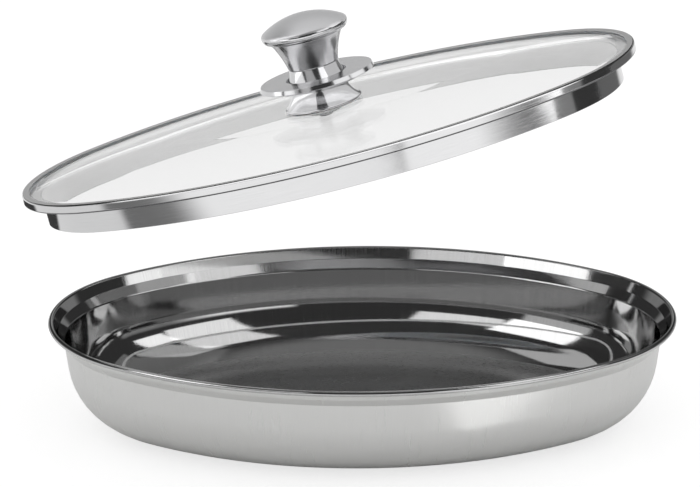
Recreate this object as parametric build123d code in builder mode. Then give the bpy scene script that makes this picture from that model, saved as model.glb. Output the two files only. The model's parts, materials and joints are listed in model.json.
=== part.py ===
from build123d import *
import os
from math import asin, atan2, cos, degrees, radians, sin, tan

# Oval cooking pot: a shallow pan of pressed steel sheet, and a domed glass lid in a folded steel band
# with a turned knob. Millimetres, +Z up, +X along the length. The origin is the centre of the
# underside of the pan's flat base. The lid is made closed on the pan and then turned up about the
# lifting axis, to where a hand holds it above the pan.

# Outline of the lip: an oval of four tangent arcs
pan_length = 380.0
pan_width = 260.0
end_radius = 100.0

# Pan sheet. Insets are measured inwards from the lip's outermost edge, depths down from its crest
pan_height = 66.0
pan_sheet = 0.9
lip_radius = 1.7
lip_curl_end = -120.0
seat_rim_inset = 6.0
seat_rim_depth = 6.6
seat_foot_inset = 10.2
seat_foot_depth = 11.8
seat_rim_round = 1.5
seat_foot_round = 2.5
wall_draft = 8.5
base_corner_radius = 43.5
base_lap = 1.0

# Band round the lid's glass
band_sheet = 0.6
band_outer_round = 1.2
band_ledge_round = 0.7
fold_width = 4.4
skirt_depth = 15.0
skirt_clearance = 0.9
seat_gap = 0.3

# Glass and its seal
glass_thickness = 4.0
glass_rise = 7.9
glass_brim_inset = 8.0
glass_bend_radius = 24.0
glass_edge_round = 1.4
crown_end_radius = 5.0
glass_hole_radius = 4.5
seal_thickness = 0.3
seal_round = 0.6
seal_width = 3.4
channel_fit = 0.05

# Knob, radii about its axis and heights along it
foot_bead_radius = 23.75
foot_bead_thickness = 2.2
foot_waist_radius = 17.3
foot_height = 12.7
foot_wall = 2.2
flange_radius = 35.3
flange_bevel = 0.9
flange_band_height = 2.7
flange_dish_radius = 25.0
flange_dish_depth = 5.4
flange_depth = 6.2
recess_radius = 18.6
recess_depth = 2.6
neck_foot_radius = 17.75
neck_top_radius = 15.0
neck_height = 6.1
groove_radius = 14.4
groove_height = 0.5
body_foot_radius = 15.4
body_middle_radius = 17.4
body_middle_height = 7.6
body_top_radius = 22.4
body_height = 18.3
boss_radius = 18.0
boss_height = 1.2
boss_fit = 0.1
cap_radius = 26.6
cap_lip_height = 4.1
cap_rise = 9.8
cap_edge_radius = 3.0

# What clamps the knob to the glass
screw_radius = 2.5
screw_fit = 0.2
screw_tip_cover = 2.0
screw_head_radius = 4.6
screw_head_height = 2.6
screw_head_round = 1.2
drive_width = 1.1
drive_length = 5.0
drive_depth = 1.3
insert_radius = 5.0
insert_length = 12.0
insert_fit = 0.05
foot_washer_radius = 22.6
foot_washer_thickness = 0.6
sleeve_radius = 4.4
lower_washer_radius = 10.0
lower_washer_thickness = 1.0
clamp_washer_radius = 11.0
clamp_washer_thickness = 1.2
clamp_washer_round = 0.4

# The lifting axis is horizontal. Its distance from the pan's centre line, its height and the
# heading that it is square to say where the lid swings, and the angle says how far it is held up
lift_reach = 446.0
lift_axis_height = 49.0
lift_heading = 25.7
lift_angle = 15.6

# The four arcs of the oval: centre, radius, start angle and turn
half_length = pan_length / 2
half_width = pan_width / 2
end_centre = half_length - end_radius
width_beyond_ends = half_width - end_radius
side_centre = (end_centre**2 - width_beyond_ends**2) / (2 * width_beyond_ends)
side_radius = half_width + side_centre
join_angle = degrees(atan2(side_centre, end_centre))
arcs = [
    (Vector(end_centre, 0), end_radius, -join_angle, 2 * join_angle),
    (Vector(0, -side_centre), side_radius, join_angle, 180 - 2 * join_angle),
    (Vector(-end_centre, 0), end_radius, 180 - join_angle, 2 * join_angle),
    (Vector(0, side_centre), side_radius, 180 + join_angle, 180 - 2 * join_angle),
]

# Levels of the closed lid, from the ledge that rests on the pan's lip up to the top of the knob
ledge_level = pan_height + seat_gap
channel_floor = ledge_level + band_sheet
glass_underside = channel_floor + seal_thickness
channel_roof = glass_underside + glass_thickness + seal_thickness
band_top = channel_roof + band_sheet
crown_underside = glass_underside + glass_rise
crown_top = crown_underside + glass_thickness
foot_level = crown_top + foot_washer_thickness
flange_underside = foot_level + foot_height
flange_top = flange_underside + flange_depth
recess_floor = flange_top - recess_depth
neck_top = flange_top + neck_height
body_top = neck_top + body_height
cap_rim = body_top + cap_lip_height
cap_top = cap_rim + cap_rise
screw_bore = screw_radius + screw_fit

lifting_axis = Axis(
    (-cos(radians(lift_heading)) * lift_reach, sin(radians(lift_heading)) * lift_reach, lift_axis_height),
    (-sin(radians(lift_heading)), -cos(radians(lift_heading)), 0),
)

os.makedirs("parts", exist_ok=True)


def carry_round_oval(section):
    """Carry a section round the oval in the part that is being built.

    In the section, x is the distance outwards from the lip's outermost edge, and y is the height.
    """
    for centre, radius, start, turn in arcs:
        outwards = Vector(cos(radians(start)), sin(radians(start)))
        across = Plane(centre + outwards * radius, x_dir=outwards, z_dir=outwards.cross(Vector(0, 0, 1)))
        with BuildSketch(across) as placed:
            add(section)
        revolve(placed.sketch, axis=Axis(centre, (0, 0, 1)), revolution_arc=turn)


def oval_plate(inset, level):
    """The flat face that the oval encloses when it is drawn in by the inset, at a level."""
    with BuildSketch(Plane.XY.offset(level)) as plate:
        with BuildLine():
            for centre, radius, start, turn in arcs:
                CenterArc(centre, radius - inset, start, turn)
        make_face()
    return plate.sketch


def lift(piece):
    """Turn a finished piece of the closed lid up to where the lid is held."""
    piece.part = piece.part.rotate(lifting_axis, lift_angle)


# Pan: one sheet from the flat base, round the large corner and up the drafted wall, over the conical
# seat and the flare, into a lip that is curled outwards into a hollow bead. The drawn line is the
# inner face, and the sheet lies on its outer side.
wall_height = pan_height - seat_foot_depth - pan_sheet
wall_foot_inset = seat_foot_inset + wall_height * tan(radians(wall_draft))
inner_corner_radius = base_corner_radius - pan_sheet
base_inset = wall_foot_inset + inner_corner_radius * tan(radians((90 - wall_draft) / 2))
seat_rim = Vector(-seat_rim_inset, pan_height - seat_rim_depth)
seat_foot = Vector(-seat_foot_inset, pan_height - seat_foot_depth)
bead_centre = Vector(-lip_radius, pan_height - lip_radius)
to_bead = bead_centre - seat_rim
flare_slope = degrees(atan2(to_bead.Y, to_bead.X) + asin(lip_radius / to_bead.length))
bead_start = flare_slope + 90
bead_tangent = bead_centre + Vector(lip_radius, 0).rotate(Axis.Z, bead_start)

with BuildSketch() as pan_section:
    with BuildLine():
        FilletPolyline(
            (-base_inset - base_lap, pan_sheet),
            (-wall_foot_inset, pan_sheet),
            seat_foot,
            seat_rim,
            bead_tangent,
            radius=(inner_corner_radius, seat_foot_round, seat_rim_round),
        )
        offset(amount=pan_sheet, side=Side.RIGHT)
    make_face()
    with BuildLine():
        outside = CenterArc(bead_centre, lip_radius, bead_start, lip_curl_end - bead_start)
        inside = CenterArc(bead_centre, lip_radius - pan_sheet, bead_start, lip_curl_end - bead_start)
        Line(outside @ 0, inside @ 0)
        Line(outside @ 1, inside @ 1)
    make_face()

with BuildPart() as pan_body:
    carry_round_oval(pan_section.sketch)
    extrude(oval_plate(base_inset + base_lap, 0), amount=pan_sheet)

pan_body.part.label = "pan_body"
export_step(pan_body.part, "parts/pan_body.step")


# Lid band: one sheet folded over the glass edge, down the outer wall, in along the ledge that rests
# on the pan's lip, and down the skirt that keeps the lid in place. The drawn line is its outer face.
skirt_foot = ledge_level - skirt_depth
wall_inset_at_skirt = wall_foot_inset - (skirt_foot - pan_sheet) * tan(radians(wall_draft))
skirt_inset = wall_inset_at_skirt + skirt_clearance

with BuildSketch() as band_section:
    with BuildLine():
        FilletPolyline(
            (-fold_width, band_top),
            (0, band_top),
            (0, ledge_level),
            (-skirt_inset, ledge_level),
            (-skirt_inset, skirt_foot),
            radius=(band_outer_round, band_outer_round, band_ledge_round),
        )
        offset(amount=band_sheet, side=Side.RIGHT)
    make_face()

with BuildPart() as lid_rim:
    carry_round_oval(band_section.sketch)

lift(lid_rim)
lid_rim.part.label = "lid_rim"
export_step(lid_rim.part, "parts/lid_rim.step")


# Seal: a thin channel that lines the band and holds the edge of the glass.
seal_inset = band_sheet + channel_fit

with BuildSketch() as seal_section:
    with BuildLine():
        FilletPolyline(
            (-seal_inset - seal_width, channel_roof),
            (-seal_inset, channel_roof),
            (-seal_inset, channel_floor),
            (-seal_inset - seal_width, channel_floor),
            radius=seal_round,
        )
        offset(amount=seal_thickness, side=Side.RIGHT)
    make_face()

with BuildPart() as rim_seal:
    carry_round_oval(seal_section.sketch)

lift(rim_seal)
rim_seal.part.label = "rim_seal"
export_step(rim_seal.part, "parts/rim_seal.step")


# Glass: a flat brim that the band grips, a bend, and a dome that runs up level into a flat oval crown
# with the hole for the knob's screw. The drawn line is the underside.
glass_edge_inset = seal_inset + seal_thickness + channel_fit
crown_inset = end_radius - crown_end_radius
dome_run = crown_inset - glass_brim_inset
dome_radius = (dome_run**2 + glass_rise**2) / (2 * glass_rise)
dome_slope = degrees(asin(dome_run / dome_radius))

with BuildSketch() as glass_section:
    with BuildLine():
        dome = CenterArc((-crown_inset, crown_underside - dome_radius), dome_radius, 90 - dome_slope, dome_slope)
        brim = Line((-glass_edge_inset, glass_underside), dome @ 0)
        fillet(brim.vertices().sort_by(Axis.X)[0], glass_bend_radius)
        offset(amount=glass_thickness, side=Side.RIGHT)
    make_face()
    fillet(glass_section.vertices().group_by(Axis.X)[-1], glass_edge_round)

with BuildPart() as lid_glass:
    carry_round_oval(glass_section.sketch)
    extrude(oval_plate(crown_inset, crown_underside), amount=glass_thickness)
    with Locations((0, 0, crown_top)):
        Hole(glass_hole_radius)

lift(lid_glass)
lid_glass.part.label = "lid_glass"
export_step(lid_glass.part, "parts/lid_glass.step")


# Foot: a hollow bell with a half-round bead at its edge, standing on the glass through its washer.
foot_shoulder = foot_bead_radius - foot_bead_thickness / 2

with BuildPart() as knob_foot:
    with BuildSketch(Plane.XZ):
        with BuildLine():
            Line((foot_shoulder - foot_wall, foot_level), (foot_shoulder, foot_level))
            SagittaArc(
                (foot_shoulder, foot_level),
                (foot_shoulder, foot_level + foot_bead_thickness),
                -foot_bead_thickness / 2,
            )
            TangentArc(
                (foot_waist_radius, flange_underside),
                (foot_shoulder, foot_level + foot_bead_thickness),
                tangent=(0, -1),
            )
            Polyline(
                (foot_waist_radius, flange_underside),
                (screw_bore, flange_underside),
                (screw_bore, flange_underside - foot_wall),
                (foot_waist_radius - foot_wall, flange_underside - foot_wall),
                (foot_shoulder - foot_wall, foot_level),
            )
        make_face()
    revolve(axis=Axis.Z)

lift(knob_foot)
knob_foot.part.label = "knob_foot"
export_step(knob_foot.part, "parts/knob_foot.step")


# Flange: a wide disc with a level top, a bevelled edge band, a dished underside and a round recess
# that the neck stands in.
with BuildPart() as knob_flange:
    with BuildSketch(Plane.XZ):
        with BuildLine():
            Polyline(
                (foot_waist_radius, flange_underside),
                (screw_bore, flange_underside),
                (screw_bore, recess_floor),
                (recess_radius, recess_floor),
                (recess_radius, flange_top),
                (flange_radius - flange_bevel, flange_top),
                (flange_radius, flange_top - flange_band_height),
            )
            TangentArc(
                (flange_dish_radius, flange_top - flange_dish_depth),
                (flange_radius, flange_top - flange_band_height),
                tangent=(flange_dish_radius, flange_dish_depth - flange_depth),
            )
            Line((flange_dish_radius, flange_top - flange_dish_depth), (foot_waist_radius, flange_underside))
        make_face()
    revolve(axis=Axis.Z)

lift(knob_flange)
knob_flange.part.label = "knob_flange"
export_step(knob_flange.part, "parts/knob_flange.step")


# Neck: a waisted collar in the flange's recess.
with BuildPart() as knob_neck:
    with BuildSketch(Plane.XZ):
        with BuildLine():
            TangentArc((neck_top_radius, neck_top), (neck_foot_radius, recess_floor), tangent=(0, -1))
            Polyline(
                (neck_foot_radius, recess_floor),
                (screw_bore, recess_floor),
                (screw_bore, neck_top),
                (neck_top_radius, neck_top),
            )
        make_face()
    revolve(axis=Axis.Z)

lift(knob_neck)
knob_neck.part.label = "knob_neck"
export_step(knob_neck.part, "parts/knob_neck.step")


# Body: the flared grip. A narrow groove parts it from the neck, a boss on top centres the cap, and
# a socket from below takes the threaded insert.
with BuildPart() as knob_body:
    with BuildSketch(Plane.XZ):
        with BuildLine():
            Polyline(
                (insert_radius + insert_fit, neck_top),
                (groove_radius, neck_top),
                (groove_radius, neck_top + groove_height),
                (body_foot_radius, neck_top + groove_height),
            )
            ThreePointArc(
                (body_foot_radius, neck_top + groove_height),
                (body_middle_radius, neck_top + body_middle_height),
                (body_top_radius, body_top),
            )
            Polyline(
                (body_top_radius, body_top),
                (boss_radius, body_top),
                (boss_radius, body_top + boss_height),
                (0, body_top + boss_height),
                (0, neck_top + insert_length),
                (insert_radius + insert_fit, neck_top + insert_length),
                (insert_radius + insert_fit, neck_top),
            )
        make_face()
    revolve(axis=Axis.Z)

lift(knob_body)
knob_body.part.label = "knob_body"
export_step(knob_body.part, "parts/knob_body.step")


# Cap: a domed cap with a rolled-under edge, seated on the body's top and centred by its boss.
cap_edge_centre = cap_radius - cap_edge_radius
cap_dome_radius = (cap_edge_centre**2 + cap_rise**2 - cap_edge_radius**2) / (2 * (cap_rise - cap_edge_radius))
cap_join_angle = degrees(atan2(cap_dome_radius - cap_rise, cap_edge_centre))

with BuildPart() as knob_cap:
    with BuildSketch(Plane.XZ):
        with BuildLine():
            CenterArc((0, cap_top - cap_dome_radius), cap_dome_radius, cap_join_angle, 90 - cap_join_angle)
            CenterArc((cap_edge_centre, cap_rim), cap_edge_radius, 0, cap_join_angle)
            TangentArc((cap_radius, cap_rim), (body_top_radius, body_top), tangent=(0, -1))
            Polyline(
                (body_top_radius, body_top),
                (boss_radius + boss_fit, body_top),
                (boss_radius + boss_fit, body_top + boss_height + boss_fit),
                (0, body_top + boss_height + boss_fit),
                (0, cap_top),
            )
        make_face()
    revolve(axis=Axis.Z)

lift(knob_cap)
knob_cap.part.label = "knob_cap"
export_step(knob_cap.part, "parts/knob_cap.step")


# Insert: the threaded steel sleeve in the body that the screw pulls on.
with BuildPart() as knob_insert:
    with BuildSketch(Plane.XY.offset(neck_top)):
        Circle(insert_radius)
        Circle(screw_bore, mode=Mode.SUBTRACT)
    extrude(amount=insert_length)

lift(knob_insert)
knob_insert.part.label = "knob_insert"
export_step(knob_insert.part, "parts/knob_insert.step")


# Upper washer: a soft disc under the foot with a sleeve that keeps the screw off the glass.
with BuildPart() as glass_washer_upper:
    with BuildSketch(Plane.XY.offset(crown_top)):
        Circle(foot_washer_radius)
        Circle(screw_bore, mode=Mode.SUBTRACT)
    extrude(amount=foot_washer_thickness)
    with BuildSketch(Plane.XY.offset(crown_underside)):
        Circle(sleeve_radius)
        Circle(screw_bore, mode=Mode.SUBTRACT)
    extrude(amount=glass_thickness)

lift(glass_washer_upper)
glass_washer_upper.part.label = "glass_washer_upper"
export_step(glass_washer_upper.part, "parts/glass_washer_upper.step")


# Lower washer: a soft disc between the glass and the steel washer.
lower_washer_level = crown_underside - lower_washer_thickness

with BuildPart() as glass_washer_lower:
    with BuildSketch(Plane.XY.offset(lower_washer_level)):
        Circle(lower_washer_radius)
        Circle(screw_bore, mode=Mode.SUBTRACT)
    extrude(amount=lower_washer_thickness)

lift(glass_washer_lower)
glass_washer_lower.part.label = "glass_washer_lower"
export_step(glass_washer_lower.part, "parts/glass_washer_lower.step")


# Clamp washer: the steel washer that spreads the screw's pull, rounded at its lower edge.
clamp_washer_level = lower_washer_level - clamp_washer_thickness

with BuildPart() as clamp_washer:
    with BuildSketch(Plane.XY.offset(clamp_washer_level)):
        Circle(clamp_washer_radius)
        Circle(screw_bore, mode=Mode.SUBTRACT)
    extrude(amount=clamp_washer_thickness)
    fillet(clamp_washer.edges().group_by(Axis.Z)[0].sort_by(SortBy.RADIUS)[-1], clamp_washer_round)

lift(clamp_washer)
clamp_washer.part.label = "clamp_washer"
export_step(clamp_washer.part, "parts/clamp_washer.step")


# Screw: a pan-head machine screw with a cross recess, up through the whole stack into the insert.
screw_length = neck_top + insert_length - screw_tip_cover - clamp_washer_level

with BuildPart() as knob_screw:
    with BuildSketch(Plane.XY.offset(clamp_washer_level)):
        Circle(screw_radius)
    extrude(amount=screw_length)
    with BuildSketch(Plane.XY.offset(clamp_washer_level)):
        Circle(screw_head_radius)
    extrude(amount=-screw_head_height)
    fillet(knob_screw.edges().group_by(Axis.Z)[0], screw_head_round)
    with BuildSketch(Plane.XY.offset(clamp_washer_level - screw_head_height)):
        Rectangle(drive_length, drive_width)
        Rectangle(drive_width, drive_length)
    extrude(amount=drive_depth, mode=Mode.SUBTRACT)

lift(knob_screw)
knob_screw.part.label = "knob_screw"
export_step(knob_screw.part, "parts/knob_screw.step")
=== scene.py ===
import json

import bpy
import numpy as np
from mathutils import Matrix


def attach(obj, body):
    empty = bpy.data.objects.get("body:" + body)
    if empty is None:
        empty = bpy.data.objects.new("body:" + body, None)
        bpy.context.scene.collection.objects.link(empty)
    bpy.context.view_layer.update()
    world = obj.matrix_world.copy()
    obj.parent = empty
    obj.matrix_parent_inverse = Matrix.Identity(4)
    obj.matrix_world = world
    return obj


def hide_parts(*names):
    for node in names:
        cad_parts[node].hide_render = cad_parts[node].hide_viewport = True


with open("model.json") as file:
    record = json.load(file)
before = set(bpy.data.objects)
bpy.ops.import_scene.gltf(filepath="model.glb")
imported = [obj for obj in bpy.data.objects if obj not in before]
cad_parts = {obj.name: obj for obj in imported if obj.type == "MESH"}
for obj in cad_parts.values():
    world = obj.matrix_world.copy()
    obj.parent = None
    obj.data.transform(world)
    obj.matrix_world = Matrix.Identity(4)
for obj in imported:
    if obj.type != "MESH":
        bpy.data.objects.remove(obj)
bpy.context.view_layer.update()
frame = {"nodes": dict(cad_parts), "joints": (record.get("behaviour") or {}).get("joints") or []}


# Camera. A long lens looks 20 degrees down on the pan from the front, so the oval keeps its shape and
# the lifted lid stands above it. It is aimed over the pan, which sits low in the picture.
sight_point = np.array([0.0, 0.0, 0.05])
sight_distance = 5.0
sight_pitch = np.radians(20.2)
sight_roll = np.radians(0.39)
focal_pixels = 8260.0
picture_width = 700
point_right_of_middle = 12.5
point_below_middle = 98.35

ahead = np.array([0.0, np.cos(sight_pitch), -np.sin(sight_pitch)])
level_right = np.array([1.0, 0.0, 0.0])
level_down = np.cross(ahead, level_right)
right = np.cos(sight_roll) * level_right + np.sin(sight_roll) * level_down
down = np.cos(sight_roll) * level_down - np.sin(sight_roll) * level_right
aim = focal_pixels * ahead - point_right_of_middle * right - point_below_middle * down
aim = aim / np.linalg.norm(aim)
right = right - aim * (right @ aim)
right = right / np.linalg.norm(right)
down = np.cross(aim, right)

camera_data = bpy.data.cameras.new("long_lens")
camera_data.sensor_width = 36.0
camera_data.lens = focal_pixels * camera_data.sensor_width / picture_width
camera_data.clip_start = 0.5
camera_data.clip_end = 60.0
camera = bpy.data.objects.new("long_lens", camera_data)
bpy.context.scene.collection.objects.link(camera)
camera_pose = np.eye(4)
camera_pose[:3, 0] = right
camera_pose[:3, 1] = -down
camera_pose[:3, 2] = -aim
camera_pose[:3, 3] = sight_point - ahead * sight_distance
camera.matrix_world = Matrix(camera_pose.tolist())
bpy.context.scene.camera = camera
bpy.context.scene.view_settings.view_transform = "Standard"
bpy.context.scene.cycles.use_denoising = True


# Room. A white studio: what the camera and the glass see is plain white, and matt surfaces get an
# even light, a little stronger from above. Steel mirrors a darker room with soft lamps. Headings are in
# degrees from the front, growing to the right, and heights in degrees above the level.
def shader_node(tree, kind, options, feeds):
    """Add a shader node, set its options, and feed its sockets with values or other nodes' outputs."""
    made = tree.nodes.new(kind)
    for name, value in options.items():
        setattr(made, name, value)
    for name, value in feeds.items():
        if isinstance(value, bpy.types.NodeSocket):
            tree.links.new(value, made.inputs[name])
        else:
            made.inputs[name].default_value = value
    return made


def arithmetic(tree, operation, first, second):
    """The first and the second value joined by the named operation."""
    return shader_node(tree, "ShaderNodeMath", {"operation": operation}, {0: first, 1: second}).outputs[0]


def soft_step(tree, value, start, end, low, high):
    """A value that goes smoothly from low, before start, to high, after end."""
    feeds = {"Value": value, "From Min": start, "From Max": end, "To Min": low, "To Max": high}
    options = {"interpolation_type": "SMOOTHSTEP"}
    return shader_node(tree, "ShaderNodeMapRange", options, feeds).outputs["Result"]


def blend(tree, share, first, second):
    """The first value where the share is nought, and the second where it is one."""
    feeds = {"Factor": share, "A": first, "B": second}
    return shader_node(tree, "ShaderNodeMix", {"data_type": "FLOAT"}, feeds).outputs["Result"]


def window(tree, across, upright, left, right_end, bottom, top):
    """One inside a window of two measures, and nought outside it: the product of a step up and a step
    down in each measure. Each side is a pair of values between which the window opens or closes."""
    inside = 1.0
    for measure, opening, closing in ((across, left, right_end), (upright, bottom, top)):
        inside = arithmetic(tree, "MULTIPLY", inside, soft_step(tree, measure, *opening, 0.0, 1.0))
        inside = arithmetic(tree, "MULTIPLY", inside, soft_step(tree, measure, *closing, 1.0, 0.0))
    return inside


def kinds_of_view(tree):
    """Two marks, each one or nought: the spot is seen straight or through glass, and the spot is seen
    in steel, with no matt surface on the way."""
    ray = shader_node(tree, "ShaderNodeLightPath", {}, {})
    clear = arithmetic(tree, "MAXIMUM", ray.outputs["Is Camera Ray"], ray.outputs["Is Transmission Ray"])
    in_steel = arithmetic(tree, "GREATER_THAN", ray.outputs["Glossy Depth"], 0.5)
    in_steel = arithmetic(tree, "SUBTRACT", in_steel, ray.outputs["Diffuse Depth"])
    return clear, arithmetic(tree, "MAXIMUM", in_steel, 0.0)


room = bpy.data.worlds.new("studio")
bpy.context.scene.world = room
room.use_nodes = True
room.cycles.sampling_method = "NONE"
room_tree = room.node_tree
room_tree.nodes.clear()
gaze = shader_node(room_tree, "ShaderNodeTexCoord", {}, {}).outputs["Generated"]
split_gaze = shader_node(room_tree, "ShaderNodeSeparateXYZ", {}, {0: gaze})
to_degrees = 180 / np.pi
toward_front = arithmetic(room_tree, "MULTIPLY", split_gaze.outputs["Y"], -1.0)
heading = arithmetic(room_tree, "ARCTAN2", split_gaze.outputs["X"], toward_front)
heading = arithmetic(room_tree, "MULTIPLY", heading, to_degrees)
height = shader_node(room_tree, "ShaderNodeMath", {"operation": "ARCSINE"}, {0: split_gaze.outputs["Z"]})
height = arithmetic(room_tree, "MULTIPLY", height.outputs[0], to_degrees)

unlit_room = 0.05
lit_ceiling = 0.3
ceiling_edge = (60.0, 75.0)
mirrored_room = soft_step(room_tree, height, *ceiling_edge, unlit_room, lit_ceiling)
for *lamp_sides, strength in (
    ((18, 21), (40, 60), (-14, -10), (8, 12), 1.25),
    ((45, 64), (78, 82), (-14, -10), (8, 12), 0.24),
    ((-170, -160), (-112, -104), (-4, 0), (8, 12), 0.24),
    ((112, 120), (165, 175), (-4, 0), (8, 12), 0.24),
):
    soft_lamp = window(room_tree, heading, height, *lamp_sides)
    soft_lamp = arithmetic(room_tree, "MULTIPLY", soft_lamp, strength)
    mirrored_room = arithmetic(room_tree, "ADD", mirrored_room, soft_lamp)

matt_light_level = 0.75
matt_light_overhead = 1.15
matt_light = soft_step(room_tree, height, 0.0, 80.0, matt_light_level, matt_light_overhead)
room_seen_clear, room_in_steel = kinds_of_view(room_tree)
brightness = blend(room_tree, room_seen_clear, matt_light, 1.0)
brightness = blend(room_tree, room_in_steel, brightness, mirrored_room)
white = (1, 1, 1, 1)
room_light = shader_node(room_tree, "ShaderNodeBackground", {}, {"Color": white, "Strength": brightness})
shader_node(room_tree, "ShaderNodeOutputWorld", {}, {"Surface": room_light.outputs[0]})


# Lamp panels. Flat lamps stand round the pot at arm's length and more. Each one shows only in the
# pieces of one group, those over the pan also through the glass, and is named for where it shows.
seen_in_pan = bpy.data.collections.new("seen_in_pan")
seen_under_lid = bpy.data.collections.new("seen_under_lid")
seen_in_knob = bpy.data.collections.new("seen_in_knob")
seen_in_neck = bpy.data.collections.new("seen_in_neck")
seen_in_band = bpy.data.collections.new("seen_in_band")
seen_in_glass = bpy.data.collections.new("seen_in_glass")


def area_lamp(name, shown_in, width, length, strength, pose):
    """A flat lamp at a pose, given as a four by four matrix, that shines against the pose's third way.
    Its energy is four times its area times the strength, so its face is as bright at any size."""
    lamp_data = bpy.data.lights.new(name, "AREA")
    lamp_data.shape = "RECTANGLE"
    lamp_data.size = width
    lamp_data.size_y = length
    lamp_data.energy = strength * 4 * width * length
    lamp = bpy.data.objects.new(name, lamp_data)
    bpy.context.scene.collection.objects.link(lamp)
    lamp.matrix_world = Matrix(pose.tolist())
    lamp.visible_camera = False
    lamp.light_linking.receiver_collection = shown_in


def lamp_panel(name, headings, heights, strength, shown_in, around, distance):
    """A flat lamp that fills a window of headings and heights as seen from a point, and faces it: its
    sides are twice the distance times the tangent of half the window, less wide the higher it stands."""
    middle_heading = np.radians(sum(headings) / 2)
    middle_height = np.radians(sum(heights) / 2)
    half_heading = np.radians((headings[1] - headings[0]) / 2)
    half_height = np.radians((heights[1] - heights[0]) / 2)
    width = 2 * distance * np.cos(middle_height) * np.tan(half_heading)
    length = 2 * distance * np.tan(half_height)
    level_way = np.array([np.sin(middle_heading), -np.cos(middle_heading), 0.0])
    way = level_way * np.cos(middle_height) + np.array([0.0, 0.0, np.sin(middle_height)])
    sideways = np.array([np.cos(middle_heading), np.sin(middle_heading), 0.0])
    upwards = np.cross(way, sideways)
    pose = np.eye(4)
    pose[:3, 0] = sideways
    pose[:3, 1] = upwards
    pose[:3, 2] = way
    pose[:3, 3] = np.asarray(around) + way * distance
    area_lamp(name, shown_in, width, length, strength, pose)


pan_panels = (
    ("pan_left_front", (38, 62), (18, 42), 1.1),
    ("pan_left_top", (38, 66), (42, 60), 1.1),
    ("pan_left_side", (62, 73), (20, 36), 1.3),
    ("pan_left_high", (66, 84), (36, 62), 0.5),
    ("pan_left_floor", (84, 132), (30, 70), 0.14),
    ("pan_right_front", (-70, -44), (18, 42), 1.9),
    ("pan_right_low", (-70, -48), (7, 18), 0.5),
    ("pan_far_rim", (-44, -16), (22, 37), 1.0),
    ("pan_right_floor", (-112, -74), (44, 66), 0.6),
)
pan_back_panels = (("pan_behind", (168, 192), (13, 60), 0.26),)
knob_panels = (
    ("knob_left", (-112, -76), (-2, 68), 1.3),
    ("knob_left_low", (-75, -46), (-2, 15), 1.1),
    ("knob_left_front", (-75, -44), (16, 60), 0.38),
    ("knob_left_edge", (-44, -24), (20, 34), 0.5),
    ("knob_right_front", (28, 72), (24, 56), 0.95),
    ("knob_right_top", (0, 84), (58, 78), 0.3),
    ("knob_right", (74, 131), (22, 62), 1.0),
    ("knob_back", (130, 230), (0, 40), 0.43),
    ("knob_back_top", (130, 230), (40, 84), 0.62),
)
neck_panels = (
    ("neck_left", (-110, -54), (-10, 74), 0.85),
    ("neck_left_front", (-52, -14), (-10, 74), 0.36),
    ("neck_right_front", (14, 45), (-10, 74), 1.2),
    ("neck_right", (48, 132), (-10, 74), 0.55),
)
band_panels = (("band_front", (-75, 75), (9, 75), 1.2),)
glass_panels = (("glass_back", (125, 235), (-3, 66), 0.6),)

pan_middle = (0.0, 0.0, 0.04)
knob_middle = (0.0, 0.0, 0.21)
for panels, shown_in, around, distance in (
    (pan_panels, seen_under_lid, pan_middle, 1.5),
    (pan_back_panels, seen_in_pan, pan_middle, 1.5),
    (knob_panels, seen_in_knob, knob_middle, 1.0),
    (neck_panels, seen_in_neck, knob_middle, 1.0),
    (band_panels, seen_in_band, knob_middle, 1.5),
    (glass_panels, seen_in_glass, knob_middle, 2.0),
):
    for panel in panels:
        lamp_panel(*panel, shown_in, around, distance)


# Floor. A smooth white table that runs out of sight, keeps the pan's soft shadow and mirrors it
# faintly at this low angle. What steel mirrors of it is a painted glow, brighter in front, with painted
# shade over four stretches, given in metres.
floor_half_width = 15.0
floor_level = -0.0004

floor_mesh = bpy.data.meshes.new("white_table")
floor_mesh.from_pydata(
    [
        (-floor_half_width, -floor_half_width, floor_level),
        (floor_half_width, -floor_half_width, floor_level),
        (floor_half_width, floor_half_width, floor_level),
        (-floor_half_width, floor_half_width, floor_level),
    ],
    [],
    [(0, 1, 2, 3)],
)
floor = bpy.data.objects.new("white_table", floor_mesh)
bpy.context.scene.collection.objects.link(floor)


def empty_finish(name):
    """A new material with nothing in its node tree yet, and that tree."""
    finish = bpy.data.materials.new(name)
    finish.use_nodes = True
    finish.node_tree.nodes.clear()
    return finish, finish.node_tree


table_finish, table_tree = empty_finish("white_table")
table_place = shader_node(table_tree, "ShaderNodeTexCoord", {}, {}).outputs["Object"]
split_place = shader_node(table_tree, "ShaderNodeSeparateXYZ", {}, {0: table_place})
table_across = split_place.outputs["X"]
table_away = split_place.outputs["Y"]

front_painted_glow = 1.25
back_painted_glow = 0.94
# Painted light: the glow that steel sees on the table, brighter in front of the pan, with painted shade
# over four stretches.
painted_glow_in_steel = soft_step(table_tree, table_away, -0.5, -0.3, front_painted_glow, back_painted_glow)
for *painted_shade_sides, shade in (
    ((-0.9, -0.85), (-0.36, -0.33), (-0.62, -0.4), (-0.25, -0.215), 0.76),
    ((-0.42, -0.4), (-0.26, -0.24), (0.15, 0.18), (0.35, 0.37), 0.94),
    ((0.32, 0.36), (0.5, 0.55), (0.05, 0.1), (0.4, 0.45), 0.75),
    ((0.6, 1.0), (14, 15), (0.2, 0.6), (14, 15), 0.82),
):
    in_painted_shade = window(table_tree, table_across, table_away, *painted_shade_sides)
    kept_light = arithmetic(table_tree, "MULTIPLY", in_painted_shade, shade)
    kept_light = arithmetic(table_tree, "SUBTRACT", 1.0, kept_light)
    painted_glow_in_steel = arithmetic(table_tree, "MULTIPLY", painted_glow_in_steel, kept_light)

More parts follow.
